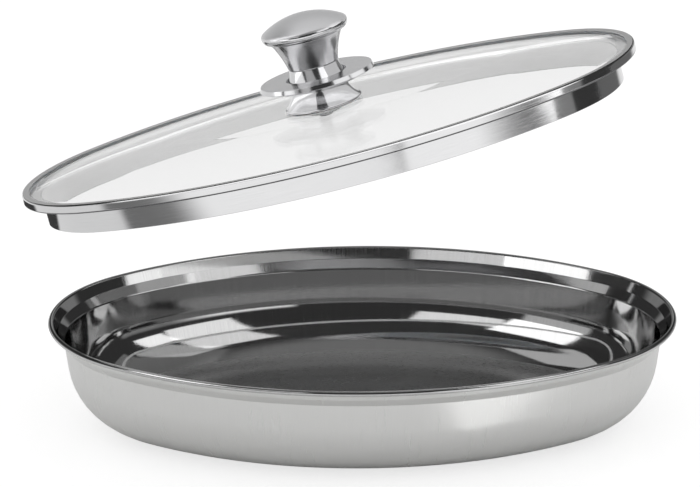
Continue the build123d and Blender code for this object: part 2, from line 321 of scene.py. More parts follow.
# Near the pan, steel sees the table's own lit colour and shadow, and past it the painted glow.
pan_surround = (0.085, 0.11)
square_across = arithmetic(table_tree, "MULTIPLY", table_across, table_across)
square_away = arithmetic(table_tree, "MULTIPLY", table_away, table_away)
square_distance = arithmetic(table_tree, "ADD", square_across, square_away)
past_the_pan = soft_step(table_tree, square_distance, *pan_surround, 0.0, 1.0)

clear_glow = 1.2
clear_glow_share = 0.6
table_polish = 0.04
table_seen_clear, table_in_steel = kinds_of_view(table_tree)
glow_strength = blend(table_tree, table_in_steel, clear_glow, painted_glow_in_steel)
glow_share = arithmetic(table_tree, "MULTIPLY", table_seen_clear, clear_glow_share)
glow_share = blend(table_tree, table_in_steel, glow_share, past_the_pan)
table_matt = shader_node(table_tree, "ShaderNodeBsdfDiffuse", {}, {"Color": (0.9, 0.9, 0.9, 1)})
table_shine = shader_node(table_tree, "ShaderNodeBsdfGlossy", {}, {"Color": white, "Roughness": 0.09})
table_layers = {0: table_polish, 1: table_matt.outputs[0], 2: table_shine.outputs[0]}
table_body = shader_node(table_tree, "ShaderNodeMixShader", {}, table_layers)
table_glow = shader_node(table_tree, "ShaderNodeEmission", {}, {"Color": white, "Strength": glow_strength})
glowing_layers = {0: glow_share, 1: table_body.outputs[0], 2: table_glow.outputs[0]}
table_surface = shader_node(table_tree, "ShaderNodeMixShader", {}, glowing_layers)
shader_node(table_tree, "ShaderNodeOutputMaterial", {}, {"Surface": table_surface.outputs[0]})
floor.data.materials.append(table_finish)


# Pan. One pressed sheet of steel, drawn over a punch: flat base, large base corner, drafted wall, a
# conical seat for the lid, a flare, and a lip curled outwards into a hollow bead. It is polished
# inside, brushed along the floor and satin outside.
mm = 0.001
pan_length = 380.0
pan_width = 260.0
end_radius = 100.0
pan_height = 66.0
pan_sheet = 0.9
lip_radius = 1.7
lip_curl_end = np.radians(-120.0)
seat_rim_inset = 6.0
seat_rim_depth = 6.6
seat_foot_inset = 10.2
seat_foot_depth = 11.8
seat_rim_round = 1.5
seat_foot_round = 2.5
wall_draft = np.radians(8.5)
base_corner_radius = 42.6
floor_middle = 0.5
end_points = 72
side_points = 76
curl_points = 46
arc_step = np.radians(7)
curve_turn = np.radians(12)


def bent_line(corners, radius, closed=False):
    """A line through the corners, each one rounded by an arc that touches both of its sides.

    The arc's radius is the given one, or as much as the shorter side allows: half of that side is the
    arc's on a closed line, and nearly all of it on an open one. Where the line turns by less than
    curve_turn it follows a curve already, so the arc runs from middle to middle of the sides.
    Returns the points, and the unit normals on the left of the way along the line.
    """
    corners = np.asarray(corners, float)
    radius = np.broadcast_to(np.asarray(radius, float), len(corners))
    before = corners - np.roll(corners, 1, axis=0)
    after = np.roll(corners, -1, axis=0) - corners
    before_length = np.hypot(*before.T)
    after_length = np.hypot(*after.T)
    before = before / np.maximum(before_length, 1e-9)[:, None]
    after = after / np.maximum(after_length, 1e-9)[:, None]
    bend = np.arctan2(before[:, 0] * after[:, 1] - before[:, 1] * after[:, 0], (before * after).sum(1))
    half_side = 0.499 * np.minimum(before_length, after_length)
    reach = np.where(np.abs(bend) < curve_turn, half_side, radius * np.tan(np.abs(bend) / 2))
    reach = np.minimum(reach, half_side if closed else 1.9 * half_side)
    points, normals = [], []
    for i in range(len(corners)):
        left_before = np.array([-before[i, 1], before[i, 0]])
        left_after = np.array([-after[i, 1], after[i, 0]])
        starts = not closed and i == 0
        ends = not closed and i == len(corners) - 1
        if starts or ends or abs(bend[i]) < 1e-6:
            points.append(corners[i][None])
            normals.append((left_after if starts else left_before)[None])
            continue
        arc_radius = reach[i] / np.tan(abs(bend[i]) / 2)
        side = np.sign(bend[i])
        centre = corners[i] - before[i] * reach[i] + left_before * side * arc_radius
        steps = np.linspace(0, bend[i], int(np.ceil(abs(bend[i]) / arc_step)) + 1)
        turned = np.column_stack(
            [
                left_before[0] * np.cos(steps) - left_before[1] * np.sin(steps),
                left_before[0] * np.sin(steps) + left_before[1] * np.cos(steps),
            ]
        )
        points.append(centre - turned * side * arc_radius)
        normals.append(turned)
    return np.vstack(points), np.vstack(normals)


def rounded_cut(at, normal, sense, thickness):
    """The half-round edge where a sheet is cut: points at half the thickness round the middle of the
    cut, from the sheet's face past the way ahead, which is the line's own way or, with the sense
    minus one, back from its start. Returns them and their outward directions."""
    forward = sense * np.array([normal[1], -normal[0]])
    turn = np.linspace(0, np.pi, 7)[1:-1]
    way = np.cos(turn)[:, None] * normal * sense + np.sin(turn)[:, None] * forward
    return at - normal * thickness / 2 + way * thickness / 2, way


def oval_rings(out, level):
    """Rings round the oval. The oval is four tangent arcs, two of the end radius and two that span
    the sides, and a ring stands outside it by out, or inside where that is negative, at its level.

    Returns the points, ring by ring, the outward directions and the points of the oval itself, in metres.
    """
    half_length, half_width = pan_length / 2, pan_width / 2
    end_centre = half_length - end_radius
    beyond_ends = half_width - end_radius
    side_centre = (end_centre**2 - beyond_ends**2) / (2 * beyond_ends)
    side_radius = half_width + side_centre
    join = np.arctan2(side_centre, end_centre)
    end_turn = np.linspace(-join, join, end_points)[:-1]
    side_turn = np.linspace(join, np.pi - join, side_points)[:-1]
    turn = np.concatenate([end_turn, side_turn, end_turn + np.pi, side_turn + np.pi])
    centre = np.zeros((len(turn), 2))
    centre[: len(end_turn), 0] = end_centre
    centre[len(end_turn) : len(end_turn) + len(side_turn), 1] = -side_centre
    centre[len(turn) // 2 : len(turn) // 2 + len(end_turn), 0] = -end_centre
    centre[-len(side_turn) :, 1] = side_centre
    reach = np.full(len(turn), end_radius)
    reach[len(end_turn) : len(turn) // 2] = side_radius
    reach[-len(side_turn) :] = side_radius
    way = np.column_stack([np.cos(turn), np.sin(turn)])
    flat = centre[None] + way[None] * (reach[None, :, None] + np.asarray(out)[:, None, None])
    high = np.broadcast_to(np.asarray(level)[:, None, None], flat.shape[:2] + (1,))
    edge = centre + way * reach[:, None]
    return np.concatenate([flat, high], axis=2) * mm, way, edge * mm


def along(points):
    """How far each point of a line lies from its start, along the line."""
    return np.concatenate([[0], np.cumsum(np.hypot(*np.diff(points, axis=0).T))])


def oval_grid(points, normals):
    """Carry a section round the oval: its x is the distance outwards and its y the level. The pattern
    is the oval's own point, for what runs up and down, with the length along the section as its third
    value."""
    rings, way, edge = oval_rings(points[:, 0], points[:, 1])
    sideways = way[None] * normals[:, 0][:, None, None]
    upwards = np.broadcast_to(normals[:, 1][:, None, None], sideways.shape[:2] + (1,))
    length = np.broadcast_to((along(points) * mm)[:, None, None], upwards.shape)
    pattern = np.concatenate([np.broadcast_to(edge[None], sideways.shape), length], axis=2)
    return rings, np.concatenate([sideways, upwards], axis=2), pattern


def skin(name, rings, normals, pattern, body, replaced, slot_name, finish_number=None, closed=True):
    """A mesh from rings of points: four-sided faces between neighbours, round each ring and from ring
    to ring, back to the first ring if closed, or else with a fan over the first ring and the last.

    The pattern is a third grid, kept as an attribute that the finish reads. Normals are set exactly.
    Each ring has the number of one of the piece's finishes, and a face gets the lower of its two rings'.
    """
    count, around = rings.shape[:2]
    verts = rings.reshape(-1, 3)
    facing = normals.reshape(-1, 3)
    marks = pattern.reshape(-1, 3)
    rows = np.arange(count if closed else count - 1)
    i = (rows[:, None] * around + np.arange(around)).ravel()
    i_next = (rows[:, None] * around + (np.arange(around) + 1) % around).ravel()
    j = ((rows[:, None] + 1) % count * around + np.arange(around)).ravel()
    j_next = ((rows[:, None] + 1) % count * around + (np.arange(around) + 1) % around).ravel()
    quads = np.column_stack([i, i_next, j_next, j])
    diagonal = np.cross(verts[quads[:, 2]] - verts[quads[:, 0]], verts[quads[:, 3]] - verts[quads[:, 1]])
    if (diagonal * facing[quads[:, 0]]).sum() < 0:
        quads = quads[:, ::-1]
    polygons = quads.tolist()
    numbers = np.zeros(count, int) if finish_number is None else np.asarray(finish_number).astype(int)
    finish_of = np.minimum(numbers[rows], numbers[(rows + 1) % count]).repeat(around)
    capped_rows = () if closed else (0, count - 1)
    for row in capped_rows:
        ring = np.arange(around) + row * around
        middle = len(verts)
        verts = np.vstack([verts, verts[ring].mean(0)])
        facing = np.vstack([facing, facing[ring].mean(0)])
        marks = np.vstack([marks, marks[ring].mean(0)])
        fan = np.column_stack([np.full(around, middle), ring, np.roll(ring, -1)])
        finish_of = np.append(finish_of, np.full(around, numbers[row]))
        across = np.cross(verts[fan[:, 1]] - verts[middle], verts[fan[:, 2]] - verts[middle]).sum(0)
        polygons += (fan if across @ facing[middle] > 0 else fan[:, ::-1]).tolist()
    mesh = bpy.data.meshes.new(name)
    mesh.from_pydata(verts.tolist(), [], polygons)
    mesh.polygons.foreach_set("use_smooth", np.ones(len(mesh.polygons), bool))
    mesh.polygons.foreach_set("material_index", finish_of.astype(np.int32))
    stored = mesh.attributes.new("lay", "FLOAT_VECTOR", "POINT")
    stored.data.foreach_set("vector", marks.ravel().astype(np.float32))
    facing = facing / np.maximum(np.linalg.norm(facing, axis=1), 1e-9)[:, None]
    mesh.normals_split_custom_set_from_vertices(facing.tolist())
    piece = bpy.data.objects.new(name, mesh)
    bpy.context.scene.collection.objects.link(piece)
    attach(piece, body)
    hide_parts(replaced)
    return piece


wall_height = pan_height - seat_foot_depth - pan_sheet
wall_foot_inset = seat_foot_inset + wall_height * np.tan(wall_draft)
seat_rim = np.array([-seat_rim_inset, pan_height - seat_rim_depth])
bead_centre = np.array([-lip_radius, pan_height - lip_radius])
to_bead = bead_centre - seat_rim
flare_slope = np.arctan2(to_bead[1], to_bead[0]) + np.arcsin(lip_radius / np.hypot(*to_bead))
bead_start = flare_slope + np.pi / 2
bead_tangent = bead_centre + lip_radius * np.array([np.cos(bead_start), np.sin(bead_start)])

pan_line, pan_left = bent_line(
    [
        (-end_radius + floor_middle, pan_sheet),
        (-wall_foot_inset, pan_sheet),
        (-seat_foot_inset, pan_height - seat_foot_depth),
        seat_rim,
        bead_tangent,
    ],
    [0, base_corner_radius, seat_foot_round, seat_rim_round, 0],
)
curl = np.linspace(bead_start, lip_curl_end, curl_points)[1:]
curl_way = np.column_stack([np.cos(curl), np.sin(curl)])
pan_line = np.vstack([pan_line, bead_centre + lip_radius * curl_way])
pan_left = np.vstack([pan_left, curl_way])
cut_edge, cut_way = rounded_cut(pan_line[-1], pan_left[-1], 1, pan_sheet)
pan_points = np.vstack([pan_line, cut_edge, (pan_line - pan_left * pan_sheet)[::-1]])
pan_normals = np.vstack([pan_left, cut_way, -pan_left[::-1]])

floor_limit = 12.0
faces_up = 0.8
polished, satin, brushed = 0, 1, 2
on_the_floor = (pan_left[:, 1] > faces_up) & (pan_line[:, 1] < floor_limit)
pan_finish_number = np.full(len(pan_points), polished)
pan_finish_number[: len(pan_line)][on_the_floor] = brushed
pan_finish_number[len(pan_line) + len(cut_edge) :] = satin
pan_grid = oval_grid(pan_points, pan_normals)
pan = skin("pan", *pan_grid, "pan", "pan_body", "pan_steel", pan_finish_number, closed=False)
seen_in_pan.objects.link(pan)
seen_under_lid.objects.link(pan)


def steel_finish(name, colour, roughness, grain, grain_scale, streak, bump, mirror_share=1.0):
    """Steel whose roughness varies in fine lines. The lay attribute, scaled by grain_scale along each of
    its three ways, gives the lines, which a noise turns into roughness, shade and a shallow relief. What
    the mirror share leaves of the light is scattered evenly, as a blasted surface does."""
    finish, tree = empty_finish(name)
    lay = shader_node(tree, "ShaderNodeAttribute", {"attribute_name": "lay"}, {}).outputs["Vector"]
    place = shader_node(tree, "ShaderNodeTexCoord", {}, {}).outputs["Object"]
    lines = shader_node(tree, "ShaderNodeMapping", {}, {"Vector": lay, "Scale": grain_scale}).outputs[0]
    fine_feeds = {"Vector": lines, "Scale": 1.0, "Detail": 3.0, "Roughness": 0.6}
    fine = shader_node(tree, "ShaderNodeTexNoise", {}, fine_feeds).outputs["Fac"]
    broad_feeds = {"Vector": place, "Scale": 35.0, "Detail": 2.0}
    broad = shader_node(tree, "ShaderNodeTexNoise", {}, broad_feeds).outputs["Fac"]
    fine_part = arithmetic(tree, "MULTIPLY", fine, 0.8)
    broad_part = arithmetic(tree, "MULTIPLY", broad, 0.2)
    worn = arithmetic(tree, "ADD", fine_part, broad_part)
    rough = soft_step(tree, worn, 0.3, 0.7, roughness - grain, roughness + grain)
    shade = soft_step(tree, fine, 0.25, 0.75, 1.0 - streak, 1.0)
    tint = shader_node(
        tree,
        "ShaderNodeMix",
        {"data_type": "RGBA", "blend_type": "MULTIPLY"},
        {"Factor": 1.0, "A": (*colour, 1), "B": shade},
    ).outputs["Result"]
    relief = shader_node(tree, "ShaderNodeBump", {}, {"Strength": bump, "Distance": 0.0002, "Height": fine})
    steel = shader_node(
        tree,
        "ShaderNodeBsdfPrincipled",
        {},
        {
            "Base Color": tint,
            "Metallic": mirror_share,
            "Roughness": rough,
            "Normal": relief.outputs["Normal"],
        },
    )
    shader_node(tree, "ShaderNodeOutputMaterial", {}, {"Surface": steel.outputs[0]})
    return finish


for finish in (
    steel_finish("pan_inside_polish", (0.52, 0.52, 0.52), 0.06, 0.03, (2500, 2500, 12), 0.12, 0.02),
    steel_finish("pan_outside_satin", (0.7, 0.7, 0.69), 0.3, 0.03, (1500, 1500, 30), 0.02, 0.0),
    steel_finish("pan_base_brushed", (0.58, 0.58, 0.58), 0.3, 0.04, (200, 200, 4000), 0.12, 0.02),
):
    pan.data.materials.append(finish)

# A low lamp lies before the pan on the right, facing up, and gives the broad highlight outside.
low_lamp_place = (0.18, -0.185, 0.002)
low_lamp_width = 0.2
low_lamp_length = 0.1
low_lamp_strength = 0.34
low_lamp_pose = np.diag([1.0, -1.0, -1.0, 1.0])
low_lamp_pose[:3, 3] = low_lamp_place
area_lamp("pan_low_front", seen_in_pan, low_lamp_width, low_lamp_length, low_lamp_strength, low_lamp_pose)


# Lid. Every piece of it is drawn as it lies closed on the pan, and then turned up about the axis at
# which the hand lifts it, by the angle that the frame gives.
lift = frame["joints"][0]
lift_axis = np.array(lift["axis"], float)
lift_axis = lift_axis / np.linalg.norm(lift_axis)
lift_point = np.array(lift["pos_m"], float)
lift_angle = np.radians(-lift["range_deg"][0])


def lifted(rings, normals, pattern):
    """Turn the points and normals of a piece about the lifting axis: what lies along the axis stays,
    and what lies across it turns by the angle."""

    def turned(v):
        lengthwise = (v @ lift_axis)[..., None] * lift_axis
        across = (v - lengthwise) * np.cos(lift_angle) + np.cross(lift_axis, v) * np.sin(lift_angle)
        return lengthwise + across

    return turned(rings - lift_point) + lift_point, turned(normals), pattern


# Band. A strip of bright steel folded over the edge of the glass, down the outer wall, in along the
# ledge that rests on the pan's lip, and down the skirt that keeps the lid in place. The fold on top is
# satin, the skirt is dull inside, and the crease under the wall has painted shade: a near-black colour.
band_sheet = 0.6
band_outer_round = 1.2
band_ledge_round = 0.7
fold_width = 4.4
skirt_depth = 15.0
skirt_clearance = 0.9
seat_gap = 0.3
seal_thickness = 0.3
glass_thickness = 4.0
ledge_level = pan_height + seat_gap
channel_floor = ledge_level + band_sheet
glass_underside = channel_floor + seal_thickness
channel_roof = glass_underside + glass_thickness + seal_thickness
band_top = channel_roof + band_sheet
skirt_foot = ledge_level - skirt_depth
skirt_inset = wall_foot_inset - (skirt_foot - pan_sheet) * np.tan(wall_draft) + skirt_clearance


def sheet_section(line, left, thickness):
    """The closed outline of a bent sheet: the line, back along it at the thickness to its right, and a
    half-round edge at each end."""
    last_cut, last_way = rounded_cut(line[-1], left[-1], 1, thickness)
    first_cut, first_way = rounded_cut(line[0], left[0], -1, thickness)
    points = np.vstack([line, last_cut, (line - left * thickness)[::-1], first_cut])
    normals = np.vstack([left, last_way, -left[::-1], first_way])
    return points, normals


band_line, band_left = bent_line(
    [
        (-fold_width, band_top),
        (0, band_top),
        (0, ledge_level),
        (-skirt_inset, ledge_level),
        (-skirt_inset, skirt_foot),
    ],
    [0, band_outer_round, band_outer_round, band_ledge_round, 0],
)
band_points, band_normals = sheet_section(band_line, band_left, band_sheet)
band_out, band_level = band_points.T

# A ring's finish goes by the way that it faces and by where it lies.
squarely = 0.9
slightly = 0.01
hair = 0.05
below_ledge = 0.5
skirt_inside = (band_normals[:, 0] < -squarely) & (band_level < ledge_level - below_ledge)
fold_face = (band_normals[:, 1] > squarely) & (band_level > band_top - hair)
fold_edge = (band_out < -fold_width + hair) & (band_level > channel_roof - hair) & ~fold_face
faces_down = band_normals[:, 1] < -slightly
under_wall = (band_level > ledge_level - slightly) & (band_level < ledge_level + band_outer_round)
# Painted shade: the rings under the wall that face down get a near-black finish in place of the shadow
# there.
painted_crease_shade = faces_down & under_wall & (band_out > -skirt_inset)
band = skin(
    "lid_band",
    *lifted(*oval_grid(band_points, band_normals)),
    "lid",
    "lid_rim",
    "band_steel",
    skirt_inside + 2 * (fold_face | fold_edge) + 3 * painted_crease_shade,
)
seen_in_band.objects.link(band)
band_grain = (60, 60, 2500)
for finish in (
    steel_finish("band_polish", (0.64, 0.64, 0.645), 0.08, 0.03, band_grain, 0.06, 0.01),
    steel_finish("band_inside_satin", (0.96, 0.96, 0.96), 0.45, 0.04, band_grain, 0.04, 0.02, 0.15),
    steel_finish("band_fold_satin", (0.62, 0.62, 0.62), 0.35, 0.04, band_grain, 0.06, 0.02, 0.6),
    # The last finish is painted shade for the crease under the wall.
    steel_finish("band_crease_painted_shade", (0.16, 0.16, 0.165), 0.4, 0.04, band_grain, 0.1, 0.02),
):
    band.data.materials.append(finish)


# Seal. A thin channel of clear grey silicone that lines the band and grips the edge of the glass. It is
# pushed over the edge before the band is folded round both.
seal_clearance = 0.05
seal_inset = band_sheet + seal_clearance
seal_width = 3.4
seal_round = 0.6

seal_line, seal_left = bent_line(
    [
        (-seal_inset - seal_width, channel_roof),
        (-seal_inset, channel_roof),
        (-seal_inset, channel_floor),
        (-seal_inset - seal_width, channel_floor),
    ],
    [0, seal_round, seal_round, 0],
)
seal_points, seal_normals = sheet_section(seal_line, seal_left, seal_thickness)
seal = skin("glass_seal", *lifted(*oval_grid(seal_points, seal_normals)), "lid", "rim_seal", "silicone")


def silicone_finish(name, colour):
    """Matt silicone: an even grey with a faint cloudiness, and a fine orange-peel relief."""
    finish, tree = empty_finish(name)
    place = shader_node(tree, "ShaderNodeTexCoord", {}, {}).outputs["Object"]
    cloud_feeds = {"Vector": place, "Scale": 220.0, "Detail": 3.0}
    cloud = shader_node(tree, "ShaderNodeTexNoise", {}, cloud_feeds).outputs["Fac"]
    peel_feeds = {"Vector": place, "Scale": 2600.0, "Detail": 1.0}
    peel = shader_node(tree, "ShaderNodeTexNoise", {}, peel_feeds).outputs["Fac"]
    cloudy_colour = [value * 0.92 for value in colour]
    tint = shader_node(
        tree,
        "ShaderNodeMix",
        {"data_type": "RGBA"},
        {"Factor": cloud, "A": (*cloudy_colour, 1), "B": (*colour, 1)},
    ).outputs["Result"]
    rough = soft_step(tree, cloud, 0.3, 0.7, 0.42, 0.55)
    relief = shader_node(tree, "ShaderNodeBump", {}, {"Strength": 0.15, "Distance": 0.0001, "Height": peel})
    soft = shader_node(
        tree,
        "ShaderNodeBsdfPrincipled",
        {},
        {
            "Base Color": tint,
            "Roughness": rough,
            "Normal": relief.outputs["Normal"],
            "Subsurface Weight": 0.2,
        },
    )
    shader_node(tree, "ShaderNodeOutputMaterial", {}, {"Surface": soft.outputs[0]})
    return finish


clear_silicone = silicone_finish("silicone", (0.88, 0.88, 0.88))
seal.data.materials.append(clear_silicone)


# Glass. Toughened glass, bent in a mould: a flat brim that the band grips, a bend, and a shallow dome
# up to a flat crown with the hole for the knob's screw. It is clear, with faint wiped smears.
glass_rise = 7.9
glass_brim_inset = 8.0
glass_bend_radius = 24.0
glass_edge_round = 1.4
glass_hole_radius = 4.5
glass_hole_chamfer = 0.3
crown_inset = 95.0
dome_points = 25
glass_edge_inset = seal_inset + seal_thickness + seal_clearance
dome_run = crown_inset - glass_brim_inset
dome_radius = (dome_run**2 + glass_rise**2) / (2 * glass_rise)
dome_slope = np.degrees(np.arcsin(dome_run / dome_radius))
crown_underside = glass_underside + glass_rise
crown_top = crown_underside + glass_thickness


def arc_line(centre, radius, start, end, count):
    """Points on a circular arc: the centre plus the radius turned through even steps of degrees."""
    turn = np.radians(np.linspace(start, end, count))
    return np.column_stack([centre[0] + radius * np.cos(turn), centre[1] + radius * np.sin(turn)])


dome_centre = (-crown_inset, crown_underside - dome_radius)
under_line = np.vstack(
    [
        arc_line(dome_centre, dome_radius, 90, 90 - dome_slope, dome_points),
        [(-glass_edge_inset, glass_underside)],
    ]
)
under_line, under_left = bent_line(under_line, [0] * (dome_points - 1) + [glass_bend_radius, 0])
under_line = under_line[:-1]
under_left = under_left[:-1]
upper_line = under_line + under_left * glass_thickness
brim_line, brim_left = bent_line(
    [
        under_line[-1],
        (-glass_edge_inset, glass_underside),
        (-glass_edge_inset, glass_underside + glass_thickness),
        upper_line[-1],
    ],
    [0, glass_edge_round, glass_edge_round, 0],
)
glass_points = np.vstack([under_line[:-1], brim_line, upper_line[:-1][::-1]])
glass_normals = np.vstack([-under_left[:-1], -brim_left, under_left[:-1][::-1]])


def pierced(rings, normals, pattern, hole_radius, chamfer):
    """Close the crown down to its round hole: each ring's first and last points go straight across to a
    circle at the same headings, wider than the hole by the chamfer, and a wall joins the two circles."""
    heading_angle = np.arctan2(rings[0, :, 1], rings[0, :, 0])
    circle = np.column_stack([np.cos(heading_angle), np.sin(heading_angle)])
    parts, ways = [], []
    for radius, level, way_out, way_up in (
        (hole_radius + chamfer, rings[0, 0, 2], 0, -1),
        (hole_radius, rings[0, 0, 2] + chamfer, -1, 0),
        (hole_radius, rings[-1, 0, 2] - chamfer, -1, 0),
        (hole_radius + chamfer, rings[-1, 0, 2], 0, 1),
    ):
        parts.append(np.column_stack([circle * radius, np.full(len(circle), level)]))
        ways.append(np.column_stack([circle * way_out, np.full(len(circle), float(way_up))]))
    rings = np.stack([parts[1], parts[0], *rings, parts[3], parts[2]])
    normals = np.stack([ways[1], ways[0], *normals, ways[3], ways[2]])
    pattern = np.concatenate([pattern[:1], pattern[:1], pattern, pattern[-1:], pattern[-1:]])
    return rings, normals, pattern


dome_grid = oval_grid(glass_points, glass_normals)
glass_grid = pierced(*dome_grid, glass_hole_radius * mm, glass_hole_chamfer * mm)
glass = skin("glass_dome", *lifted(*glass_grid), "lid", "lid_glass", "glass")
seen_in_glass.objects.link(glass)
seen_under_lid.objects.link(glass)

glass_finish, glass_tree = empty_finish("clear_glass")
glass_place = shader_node(glass_tree, "ShaderNodeTexCoord", {}, {}).outputs["Object"]
smear_feeds = {"Vector": glass_place, "Scale": 14.0, "Detail": 4.0}
smears = shader_node(glass_tree, "ShaderNodeTexNoise", {}, smear_feeds).outputs["Fac"]
clear_glass = shader_node(
    glass_tree,
    "ShaderNodeBsdfPrincipled",
    {},
    {
        "Base Color": (0.85, 0.85, 0.85, 1),
        "Roughness": soft_step(glass_tree, smears, 0.45, 0.75, 0.0, 0.03),
        "IOR": 1.16,
        "Transmission Weight": 1.0,
    },
)
shader_node(glass_tree, "ShaderNodeOutputMaterial", {}, {"Surface": clear_glass.outputs[0]})
glass.data.materials.append(glass_finish)


# Knob foot. A pressed bell of polished steel with a half-round bead at its edge, standing on the glass
# through a soft washer. The screw runs up through the hole in its top.
foot_washer_thickness = 0.6
foot_level = crown_top + foot_washer_thickness
foot_bead_radius = 23.75
foot_bead_thickness = 2.2
foot_waist_radius = 17.3
foot_height = 12.7
foot_wall = 2.2
foot_edge_round = 0.15
straight_down = (0, -1)
screw_bore = 2.7
flange_underside = foot_level + foot_height
foot_shoulder = foot_bead_radius - foot_bead_thickness / 2


def tangent_arc(start, end, way, count):
    """Points on the arc that leaves the start in the given way and ends at the end. Its centre lies
    square to the way, as far off as puts both points at one distance from it."""
    start, end, way = (np.asarray(v, float) for v in (start, end, way))
    way = way / np.hypot(*way)
    square = np.array([-way[1], way[0]])
    chord = end - start
    radius = (chord @ chord) / (2 * (chord @ square))
    centre = start + square * radius
    first = np.arctan2(*(start - centre)[::-1])
    last = np.arctan2(*(end - centre)[::-1])
    sweep = (last - first) % (2 * np.pi)
    if radius < 0:
        sweep -= 2 * np.pi
    turn = first + np.linspace(0, sweep, count)
    return np.column_stack([centre[0] + abs(radius) * np.cos(turn), centre[1] + abs(radius) * np.sin(turn)])


def turned_grid(outline, edge_round, around=180):
    """Turn an outline, given as radius and level, round the knob's axis, with its corners eased by a
    small radius. The pattern is the way round on a circle and the length along the outline."""
    points, normals = bent_line(outline, edge_round, closed=True)
    area = (points[:, 0] * np.roll(points[:, 1], -1) - np.roll(points[:, 0], -1) * points[:, 1]).sum()
    if area > 0:
        normals = -normals
    pattern_radius = 20 * mm
    turn = np.linspace(0, 2 * np.pi, around + 1)[:-1]
    way = np.column_stack([np.cos(turn), np.sin(turn)])
    flat = way[None] * points[:, 0][:, None, None]
    high = np.broadcast_to(points[:, 1][:, None, None], flat.shape[:2] + (1,))
    sideways = way[None] * normals[:, 0][:, None, None]
    upwards = np.broadcast_to(normals[:, 1][:, None, None], high.shape)
    length = np.broadcast_to((along(points) * mm)[:, None, None], high.shape)
    pattern = np.concatenate([np.broadcast_to(way[None] * pattern_radius, flat.shape), length], axis=2)
    return np.concatenate([flat, high], axis=2) * mm, np.concatenate([sideways, upwards], axis=2), pattern


bead_middle = (foot_shoulder, foot_level + foot_bead_thickness / 2)
bead_top = (foot_shoulder, foot_level + foot_bead_thickness)
foot_outline = np.vstack(
    [
        [(foot_shoulder - foot_wall, foot_level)],
        arc_line(bead_middle, foot_bead_thickness / 2, -90, 90, 13),
        tangent_arc((foot_waist_radius, flange_underside), bead_top, straight_down, 16)[::-1],
        [
            (screw_bore, flange_underside),
            (screw_bore, flange_underside - foot_wall),
            (foot_waist_radius - foot_wall, flange_underside - foot_wall),
        ],
    ]
)
foot_grid = turned_grid(foot_outline, foot_edge_round)
foot = skin("knob_bell", *lifted(*foot_grid), "lid", "knob_foot", "knob_steel")
knob_polish = steel_finish("knob_polish", (0.64, 0.64, 0.65), 0.14, 0.03, (6, 6, 5000), 0.06, 0.01)
foot.data.materials.append(knob_polish)


# Flange. A wide turned disc that keeps the fingers off the hot glass: level top brushed round and
# round, polished edge band, dished underside, and a round recess that the neck stands in.
flange_radius = 35.3
flange_bevel = 0.9
flange_band_height = 2.7
flange_dish_radius = 25.0
flange_dish_depth = 5.4
flange_depth = 6.2
flange_edge_round = 0.25
recess_radius = 18.6
recess_depth = 2.6
flange_top = flange_underside + flange_depth
recess_floor = flange_top - recess_depth

flange_outline = np.vstack(
    [
        [
            (screw_bore, flange_underside),
            (screw_bore, recess_floor),
            (recess_radius, recess_floor),
            (recess_radius, flange_top),
            (flange_radius - flange_bevel, flange_top),
            (flange_radius, flange_top - flange_band_height),
        ],
        tangent_arc(
            (flange_dish_radius, flange_top - flange_dish_depth),
            (flange_radius, flange_top - flange_band_height),
            (flange_dish_radius, flange_depth - flange_dish_depth),
            14,
        )[::-1][1:],
        [(foot_waist_radius, flange_underside)],
    ]
)
flange_grid = turned_grid(flange_outline, flange_edge_round)
flange_rings, flange_normals, _ = flange_grid
flange_face = (flange_normals[:, 0, 2] > squarely) & (flange_rings[:, 0, 2] > (flange_top - hair) * mm)
flange = skin("knob_guard", *lifted(*flange_grid), "lid", "knob_flange", "knob_steel", flange_face)
flange.data.materials.append(knob_polish)
guard_brushed = steel_finish("guard_brushed", (0.62, 0.62, 0.63), 0.24, 0.04, (6, 6, 3500), 0.06, 0.02)
flange.data.materials.append(guard_brushed)
seen_in_knob.objects.link(flange)

# Two flat lamps just under the guard shine down on the bell, with a dark gap between them in front.
under_guard_depth = 0.4
under_guard_middle = -30.0
under_guard_length = 120.0 * mm
under_guard_strength = 0.6
seen_in_bell = bpy.data.collections.new("seen_in_bell")
seen_in_bell.objects.link(foot)
for side, left_end, right_end in (("left", -70.0, -5.0), ("right", 4.5, 70.0)):
    lamp_middle = ((left_end + right_end) / 2, under_guard_middle, flange_underside - under_guard_depth)
    turned_middle, turned_ways, _ = lifted(np.array([lamp_middle]) * mm, np.eye(3), None)
    pose = np.eye(4)
    pose[:3, :3] = turned_ways.T
    pose[:3, 3] = turned_middle[0]
    width = (right_end - left_end) * mm
    area_lamp("under_guard_" + side, seen_in_bell, width, under_guard_length, under_guard_strength, pose)


# Neck. A short waisted collar, turned bright, that stands in the flange's recess. The screw runs
# through it and draws the grip down onto it.
neck_foot_radius = 17.75
neck_top_radius = 15.0
neck_height = 6.1
neck_edge_round = 0.2
neck_start_way = (0.2, -1)
neck_top = flange_top + neck_height

neck_side = tangent_arc((neck_top_radius, neck_top), (neck_foot_radius, recess_floor), neck_start_way, 14)
neck_outline = np.vstack([neck_side[::-1], [(screw_bore, neck_top), (screw_bore, recess_floor)]])
neck_grid = turned_grid(neck_outline, neck_edge_round)
neck = skin("knob_collar", *lifted(*neck_grid), "lid", "knob_neck", "knob_steel")
neck.data.materials.append(knob_polish)
seen_in_neck.objects.link(neck)


